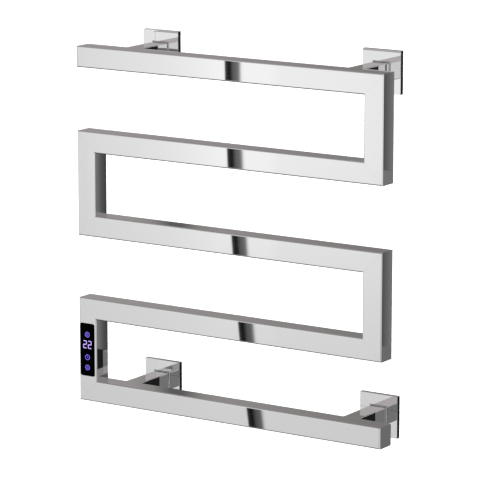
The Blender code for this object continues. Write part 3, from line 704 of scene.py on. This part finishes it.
def sleeve(bm, size, fillet, back_fillet):
    """An open box along X with rounded long edges, at -Y and at +Y."""
    made = bmesh.ops.create_cube(bm, size=1.0)["verts"]
    bmesh.ops.scale(bm, vec=size, verts=made)
    faces = once(face for vert in made for face in vert.link_faces)
    ends = [face for face in faces if abs(face.calc_center_median().x) > size[0] * 0.4]
    bmesh.ops.delete(bm, geom=ends, context="FACES_ONLY")
    edges = once(edge for vert in made for edge in vert.link_edges)
    along = [edge for edge in edges
             if abs(edge.verts[0].co.x - edge.verts[1].co.x) > size[0] * 0.5]
    for radius, side in ((fillet, -1), (back_fillet, 1)):
        chosen = [edge for edge in along if edge.is_valid and edge.verts[0].co.y * side > 0]
        bevel(bm, chosen, radius, FILLET_STEPS)


def square_tube(size, wall, fillet, back_fillet, ends):
    """A hollow tube along X; ends holds a (point, outward direction) plane for each end."""
    bm = bmesh.new()
    bore = (size[0], size[1] - 2 * wall, size[2] - 2 * wall)
    sleeve(bm, bore, BORE_FILLET, BORE_FILLET)
    bmesh.ops.reverse_faces(bm, faces=bm.faces)
    sleeve(bm, size, fillet, back_fillet)
    for point, outward in ends:
        everything = bm.verts[:] + bm.edges[:] + bm.faces[:]
        bmesh.ops.bisect_plane(bm, geom=everything, plane_co=point, plane_no=outward,
                               clear_outer=True)
        way = Vector(outward).normalized()
        rim = [edge for edge in bm.edges if edge.is_boundary
               and all(abs((vert.co - Vector(point)).dot(way)) < TINY for vert in edge.verts)]
        bmesh.ops.bridge_loops(bm, edges=rim)
    bmesh.ops.remove_doubles(bm, verts=bm.verts, dist=TINY)
    return bm


print("tube builder ready")

# %% [markdown]
# ## Bars and risers
#
# The zigzag runs from the top bar's open left end to the bottom bar's open right end. At every
# corner a bar and a riser meet in a mitre. The joint is welded and polished, and a hairline is all
# that shows, so the two cut faces stay a few hundredths of a millimetre back from the mitre plane.

# %% Zigzag
SEAM = 0.03 * MM
SEAM_ALONG = SEAM * ROOT_TWO
LONGER = 20 * MM
BARS = 5
_, bar_size = middle_and_size("bar_tube_2")
TUBE_FACE = bar_size.z
TUBE_DEPTH = bar_size.y
corner_low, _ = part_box("riser_tube_2")
_, corner_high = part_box("riser_tube_1")
OUTER_LEFT = corner_low[0]
OUTER_RIGHT = corner_high[0]


def mitre(x_outer, turn, side):
    """Cut plane of a bar's end: side is -1 left or 1 right, turn 1 if the riser goes up."""
    inset = side * (TUBE_FACE / 2 + SEAM_ALONG)
    point = Vector((x_outer - inset, 0, 0))
    outward = Vector((side, 0, turn))
    return point, outward


def bar(number):
    """Bar 1 is the top one; odd bars turn down at the right, even ones at the left."""
    node = f"bar_tube_{number}"
    middle, _ = middle_and_size(node)
    low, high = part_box(node)
    right_up = number % 2 == 0
    ends = []
    if number == 1:
        ends.append((Vector((low[0], 0, 0)), Vector((-1, 0, 0))))
    else:
        ends.append(mitre(OUTER_LEFT, -1 if right_up else 1, -1))
    if number == BARS:
        ends.append((Vector((high[0], 0, 0)), Vector((1, 0, 0))))
    else:
        ends.append(mitre(OUTER_RIGHT, 1 if right_up else -1, 1))
    length = OUTER_RIGHT - OUTER_LEFT + LONGER
    bm = square_tube((length, TUBE_DEPTH, TUBE_FACE), TUBE_WALL, TUBE_FILLET,
                     BACK_FILLET, ends)
    bmesh.ops.translate(bm, verts=bm.verts, vec=(0, middle.y, middle.z))
    return flatten(piece(f"bar_{number}", bm, chrome, "rack", node))


bars = [bar(number) for number in range(1, BARS + 1)]
print("bars:", [len(made.data.polygons) for made in bars])

# %% [markdown]
# A riser is the same tube stood on end. It is built lying down, with both mitres opening to the
# same side, and then turned a quarter about the depth axis.

# %% Risers
def riser(number):
    """Odd risers stand at the right, even ones at the left."""
    node = f"riser_tube_{number}"
    middle, _ = middle_and_size(node)
    side = 1 if number % 2 else -1
    top = middle_and_size(f"bar_tube_{number}")[0].z + TUBE_FACE / 2
    bottom = middle_and_size(f"bar_tube_{number + 1}")[0].z - TUBE_FACE / 2
    centre = (top + bottom) / 2
    half = (top - bottom) / 2
    ends = []
    for way in (-1, 1):
        point = Vector((way * (half - TUBE_FACE / 2 - SEAM_ALONG), 0, 0))
        ends.append((point, Vector((way, 0, side))))
    bm = square_tube((2 * half + LONGER, TUBE_DEPTH, TUBE_FACE), TUBE_WALL, TUBE_FILLET,
                     BACK_FILLET, ends)
    quarter = Matrix.Rotation(-math.pi / 2, 3, "Y")
    bmesh.ops.rotate(bm, verts=bm.verts, cent=(0, 0, 0), matrix=quarter)
    bmesh.ops.translate(bm, verts=bm.verts, vec=(middle.x, middle.y, centre))
    made = piece(f"riser_{number}", bm, chrome, "rack", node)
    return made


risers = [riser(number) for number in range(1, BARS)]
print("risers:", [made.name for made in risers])

# %% [markdown]
# ## Rounded plates
#
# End caps, the glass and the tool that cuts its opening are all flat plates with rounded corners.
# A cube is scaled, its short edges are bevelled for the corner radius, and then the rim of the
# face that shows gets its own small bevel.

# %% Plate builder
CORNER_STEPS = 6
RIM_STEPS = 3


def plate(low, high, axis, corner, rim=0, rim_side=1):
    """A block between two corners, rounded round one axis, with an eased rim on one side."""
    low, high = Vector(low), Vector(high)
    size = high - low
    bm = bmesh.new()
    bmesh.ops.create_cube(bm, size=1.0)
    bmesh.ops.scale(bm, vec=size, verts=bm.verts)
    along = [edge for edge in bm.edges
             if abs((edge.verts[0].co - edge.verts[1].co)[axis]) > size[axis] * 0.5]
    bevel(bm, along, corner, CORNER_STEPS)
    if rim:
        edge_place = rim_side * size[axis] / 2
        outline = [edge for edge in bm.edges
                   if all(abs(vert.co[axis] - edge_place) < TINY for vert in edge.verts)]
        bevel(bm, outline, rim, RIM_STEPS)
    bmesh.ops.translate(bm, verts=bm.verts, vec=(low + high) / 2)
    return bm


CAP_CORNER = 1.5 * MM
CAP_RIM = 0.3 * MM
for name, side in (("end_cap_top", -1), ("end_cap_bottom", 1)):
    low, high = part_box(name)
    bm = plate(low, high, 0, CAP_CORNER, CAP_RIM, side)
    flatten(piece(name + "_plate", bm, chrome, "rack", name))
print("end caps made")

# %% [markdown]
# ## Touch panel
#
# The glass sits in a close opening in the lower left riser, three tenths of a millimetre proud,
# with a ground rim that catches a thin line of light. The opening is cut from the riser with the
# same plate, a little larger all round. The lit marks lie in the front surface, so the glass is
# set back by the thickness of their ink.

# %% Glass and its opening
INK = 0.04 * MM
FIT = 0.3 * MM
GLASS_CORNER = 3 * MM
GLASS_RIM = 0.25 * MM
CUT_DEEPER = 1 * MM
glass_low, glass_high = (Vector(corner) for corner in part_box("touch_glass"))
room = Vector((FIT, CUT_DEEPER, FIT))
opening_low = glass_low - room
opening_high = glass_high + room
cut(risers[3], plate(opening_low, opening_high, 1, GLASS_CORNER + FIT))
for made in risers:
    flatten(made)
bm = plate(glass_low + Vector((0, INK, 0)), glass_high, 1, GLASS_CORNER, GLASS_RIM, -1)
flatten(piece("panel_glass", bm, black_glass, "rack", "touch_glass"))
print("glass", [round(value / MM, 2) for value in glass_high - glass_low])

# %% [markdown]
# ## Lit marks
#
# Three ringed key marks and two digits glow through the panel. They are generic signs: a fan, a
# clock and a power stroke. Each is drawn flat on the glass from rings, bars and petals. A ring is
# a small square profile spun about the depth axis; a bar is a thin plate.

# %% Ring and stroke
PANEL_X = (glass_low.x + glass_high.x) / 2
PANEL_TOP = glass_high.z
INK_FRONT = glass_low.y
INK_BACK = INK_FRONT + INK
FULL_TURN = 2 * math.pi


def ring(bm, x, z, radius, width, start=0.0, sweep=FULL_TURN, steps=40):
    """A flat ring, or part of one, about the depth axis; the start is measured from above."""
    inner, outer = radius - width / 2, radius + width / 2
    corners = [(inner, INK_FRONT), (outer, INK_FRONT), (outer, INK_BACK), (inner, INK_BACK)]
    before = set(bm.verts)
    verts = [bm.verts.new((0, depth, reach)) for reach, depth in corners]
    profile = bm.faces.new(verts)
    outline = list(profile.edges) + verts
    whole = sweep == FULL_TURN
    bmesh.ops.rotate(bm, verts=verts, cent=(0, 0, 0), matrix=Matrix.Rotation(start, 3, "Y"))
    if whole:
        bm.faces.remove(profile)
    bmesh.ops.spin(bm, geom=outline if whole else [profile] + outline, cent=(0, 0, 0),
                   axis=(0, 1, 0), dvec=(0, 0, 0), angle=sweep, steps=steps, use_merge=whole,
                   use_duplicate=False)
    fresh = [vert for vert in bm.verts if vert not in before]
    bmesh.ops.translate(bm, verts=fresh, vec=(x, 0, z))


def stroke(bm, start, end, width):
    """A flat straight bar between two (x, z) points, with square ends."""
    start, end = Vector((start[0], 0, start[1])), Vector((end[0], 0, end[1]))
    run = end - start
    made = bmesh.ops.create_cube(bm, size=1.0)["verts"]
    bmesh.ops.scale(bm, vec=(run.length, INK, width), verts=made)
    turn = Matrix.Rotation(-math.atan2(run.z, run.x), 3, "Y")
    bmesh.ops.rotate(bm, verts=made, cent=(0, 0, 0), matrix=turn)
    place = (start + end) / 2 + Vector((0, (INK_FRONT + INK_BACK) / 2, 0))
    bmesh.ops.translate(bm, verts=made, vec=place)


print("panel centre at", round(PANEL_X / MM, 2))

# %% [markdown]
# The three marks share one ring size. The fan has a hub and six short petals, the clock has two
# hands, and the power sign has a broken inner ring with a stroke through the break.

# %% Key marks
MARK_RADIUS = 3.6 * MM
MARK_LINE = 0.85 * MM
FAN_DROP = 16.3 * MM
CLOCK_DROP = 49.4 * MM
POWER_DROP = 64.3 * MM
HUB_RADIUS, HUB_LINE, HUB_STEPS = 0.7 * MM, 0.4 * MM, 16
PETAL_START, PETAL_END, PETAL_TWIST = 1.1 * MM, 2.6 * MM, 16
FINE_LINE = 0.5 * MM
HAND_TAIL, LONG_HAND, SHORT_HAND, SHORT_HAND_AT = 0.25 * MM, 2.3 * MM, 1.9 * MM, 125
POWER_RADIUS, POWER_LOWER, POWER_BREAK, POWER_STEPS = 1.7 * MM, 0.2 * MM, 84, 24
STEM_TOP, STEM_LINE = 2.1 * MM, 0.6 * MM


def polar(x, z, radius, degrees):
    """A point at an angle measured clockwise from above."""
    turn = math.radians(degrees)
    return x + radius * math.sin(turn), z + radius * math.cos(turn)


def mark(name, drop, draw):
    bm = bmesh.new()
    z = PANEL_TOP - drop
    ring(bm, PANEL_X, z, MARK_RADIUS, MARK_LINE)
    draw(bm, PANEL_X, z)
    return piece(name, bm, key_light, "rack")


def draw_fan(bm, x, z):
    ring(bm, x, z, HUB_RADIUS, HUB_LINE, steps=HUB_STEPS)
    for turn in range(0, 360, 60):
        stroke(bm, polar(x, z, PETAL_START, turn), polar(x, z, PETAL_END, turn + PETAL_TWIST),
               FINE_LINE)


def draw_clock(bm, x, z):
    stroke(bm, (x, z - HAND_TAIL), polar(x, z, LONG_HAND, 0), FINE_LINE)
    stroke(bm, (x, z), polar(x, z, SHORT_HAND, SHORT_HAND_AT), FINE_LINE)


def draw_power(bm, x, z):
    start, sweep = math.radians(POWER_BREAK / 2), math.radians(360 - POWER_BREAK)
    ring(bm, x, z - POWER_LOWER, POWER_RADIUS, FINE_LINE, start, sweep, POWER_STEPS)
    stroke(bm, (x, z - POWER_LOWER), (x, z + STEM_TOP), STEM_LINE)


mark("mark_fan", FAN_DROP, draw_fan)
mark("mark_clock", CLOCK_DROP, draw_clock)
mark("mark_power", POWER_DROP, draw_power)
print("three key marks")

# %% [markdown]
# The display shows two numerals in seven strokes each, as small lamp displays do. A table says
# which strokes a numeral lights, so another temperature needs only another number.

# %% Digits
DIGITS_DROP = 30.8 * MM
DIGIT_WIDTH = 6.3 * MM
DIGIT_HEIGHT = 11.6 * MM
DIGIT_PITCH = 8.3 * MM
DIGIT_LINE = 1.25 * MM
DIGIT_BREAK = 0.22
LIT = {"2": "top upper_right centre lower_left bottom"}
SHOWN_NUMBER = "22"


def numeral(bm, sign, x, z):
    half_w, half_h = (DIGIT_WIDTH - DIGIT_LINE) / 2, (DIGIT_HEIGHT - DIGIT_LINE) / 2
    gap = DIGIT_LINE * DIGIT_BREAK
    runs = {
        "top": ((-half_w, half_h), (half_w, half_h)),
        "centre": ((-half_w, 0), (half_w, 0)),
        "bottom": ((-half_w, -half_h), (half_w, -half_h)),
        "upper_right": ((half_w, gap), (half_w, half_h - gap)),
        "lower_left": ((-half_w, -half_h + gap), (-half_w, -gap)),
    }
    for run in LIT[sign].split():
        (x0, z0), (x1, z1) = runs[run]
        stroke(bm, (x + x0, z + z0), (x + x1, z + z1), DIGIT_LINE)


bm = bmesh.new()
for place, sign in enumerate(SHOWN_NUMBER):
    offset = (place - (len(SHOWN_NUMBER) - 1) / 2) * DIGIT_PITCH
    numeral(bm, sign, PANEL_X + offset, PANEL_TOP - DIGITS_DROP)
piece("lit_digits", bm, digit_light, "rack")
print("digits", SHOWN_NUMBER)

# %% [markdown]
# ## Arms
#
# Each arm is a short square tube that slips over a socket on the wall. A small hole underneath
# takes the set screw. The arm is the tube builder again, turned to run towards the wall, with
# the hole drilled by a cylinder.

# %% Arms
CORNERS = ("top_left", "top_right", "bottom_left", "bottom_right")
ARM_WALL = 3 * MM
ARM_FILLET = 1.0 * MM
DRILL_LENGTH = 8 * MM


def arm(corner):
    node = "bracket_arm_" + corner
    middle, size = middle_and_size(node)
    half = size.y / 2
    ends = [(Vector((way * half, 0, 0)), Vector((way, 0, 0))) for way in (-1, 1)]
    bm = square_tube((size.y + LONGER, size.x, size.z), ARM_WALL, ARM_FILLET,
                     ARM_FILLET, ends)
    quarter = Matrix.Rotation(math.pi / 2, 3, "Z")
    bmesh.ops.rotate(bm, verts=bm.verts, cent=(0, 0, 0), matrix=quarter)
    bmesh.ops.translate(bm, verts=bm.verts, vec=middle)
    made = piece("arm_" + corner, bm, chrome, "rack", node)
    screw, screw_size = middle_and_size("grub_screw_" + corner)
    radius = screw_size.x / 2 + FIT
    hole = bmesh.new()
    bmesh.ops.create_cone(hole, cap_ends=True, segments=32, radius1=radius, radius2=radius,
                          depth=DRILL_LENGTH)
    bmesh.ops.translate(hole, verts=hole.verts, vec=screw)
    return flatten(cut(made, hole))


arms = [arm(corner) for corner in CORNERS]
print("arms:", [made.name for made in arms])

# %% [markdown]
# ## Rosettes and collars
#
# A rosette is a shallow square cover, pressed from sheet with a folded rim, that hides the fixing.
# A slim collar lines its window, grips the arm and stands out as a fine rounded lip. Both are
# square rings, and a square ring is a turned shape with only four steps: a profile spun about the
# arm's axis. The profile lies on the diagonal, so its distances are longer by the square root of
# two.

# %% Square rings
SQUARE_STEPS = 4


def square_ring(profile, centre):
    """Spin a closed profile of (half width, depth) points in four steps."""
    bm = bmesh.new()
    verts = [bm.verts.new((reach * ROOT_TWO, depth, 0)) for reach, depth in profile]
    edges = [bm.edges.new((verts[i - 1], verts[i])) for i in range(len(verts))]
    bmesh.ops.spin(bm, geom=verts + edges, cent=(0, 0, 0), axis=(0, 1, 0), dvec=(0, 0, 0),
                   angle=FULL_TURN, steps=SQUARE_STEPS, use_merge=True, use_duplicate=False)
    bmesh.ops.rotate(bm, verts=bm.verts, cent=(0, 0, 0),
                     matrix=Matrix.Rotation(math.pi / 4, 3, "Y"))
    bmesh.ops.translate(bm, verts=bm.verts, vec=(centre.x, 0, centre.z))
    return bm


print("a square ring is a spin of", SQUARE_STEPS, "steps")

# %% [markdown]
# Only the outer edges of the cover are eased, a little. The collar's lip is rounded much more,
# because it is what the light finds round the arm.

# %% Covers and collars
RIM = 3 * MM
SKIN = 2.2 * MM
LONG_EDGE = 4 * MM
ROSETTE_EASE, ROSETTE_STEPS = 0.35 * MM, 4
COLLAR_BORE_HALF = 12.8 * MM
COLLAR_EASE, COLLAR_STEPS = 0.95 * MM, 6
FOLDED = 0.5


def cover(corner):
    """The square plate, hollow behind, with a window for the collar."""
    node = "rosette_" + corner
    low, high = (Vector(value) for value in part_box(node))
    centre = (low + high) / 2
    half = (high.x - low.x) / 2
    _, collar_size = middle_and_size("rosette_collar_" + corner)
    window = collar_size.x / 2 + FIT
    front, back = low.y, high.y
    profile = [(window, front), (half, front), (half, back), (half - RIM, back),
               (half - RIM, front + SKIN), (window, front + SKIN)]
    bm = square_ring(profile, centre)

    def outside(edge):
        ends = [vert.co - centre for vert in edge.verts]
        reach = [max(abs(end.x), abs(end.z)) for end in ends]
        at_front = all(abs(vert.co.y - front) < TINY for vert in edge.verts)
        corner_edge = abs(edge.verts[0].co.y - edge.verts[1].co.y) > LONG_EDGE
        return min(reach) > half - TINY and (at_front or corner_edge)

    bevel(bm, [edge for edge in bm.edges if outside(edge)], ROSETTE_EASE, ROSETTE_STEPS)
    made = piece("cover_" + corner, bm, chrome, "rosette_" + corner, node)
    return flatten(made)


def collar(corner):
    """The slim ring in the window, with a rounded lip at its front."""
    node = "rosette_collar_" + corner
    centre, _ = middle_and_size("rosette_" + corner)
    low, high = (Vector(value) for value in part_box(node))
    half, lip, back = (high.x - low.x) / 2, low.y, high.y
    profile = [(COLLAR_BORE_HALF, lip), (half, lip), (half, back), (COLLAR_BORE_HALF, back)]
    bm = square_ring(profile, centre)
    lip_edges = [edge for edge in bm.edges if edge.calc_face_angle() > FOLDED
                 and all(abs(vert.co.y - lip) < TINY for vert in edge.verts)]
    bevel(bm, lip_edges, COLLAR_EASE, COLLAR_STEPS)
    made = piece("collar_" + corner, bm, chrome, "rosette_" + corner, node)
    return flatten(made)


for corner in CORNERS:
    print(cover(corner).name, collar(corner).name)

# %% [markdown]
# ## Hidden parts keep their exact shape
#
# The sockets, the screws and everything inside the tubes were modelled as they are, and only
# need a finish. A table from the model's own slot names to the finishes here does it in one loop,
# so that nothing is left plain.

# %% Finishes for the parts inside
FINISHES = {
    "polished_steel": chrome,
    "plain_steel": zinc,
    "black_steel": black_steel,
    "black_rubber": rubber,
    "black_glass": black_glass,
    "grey_plastic": grey_plastic,
    "black_plastic": black_plastic,
    "circuit_board": circuit_board,
    "red_silicone": silicone,
    "white_plastic": white_plastic,
}
for node in nodes.values():
    for holder in node.material_slots:
        holder.material = FINISHES[holder.material.name.split(".")[0]]
shown_nodes = [name for name, node in nodes.items() if not node.hide_render]
print("kept nodes:", len(shown_nodes))
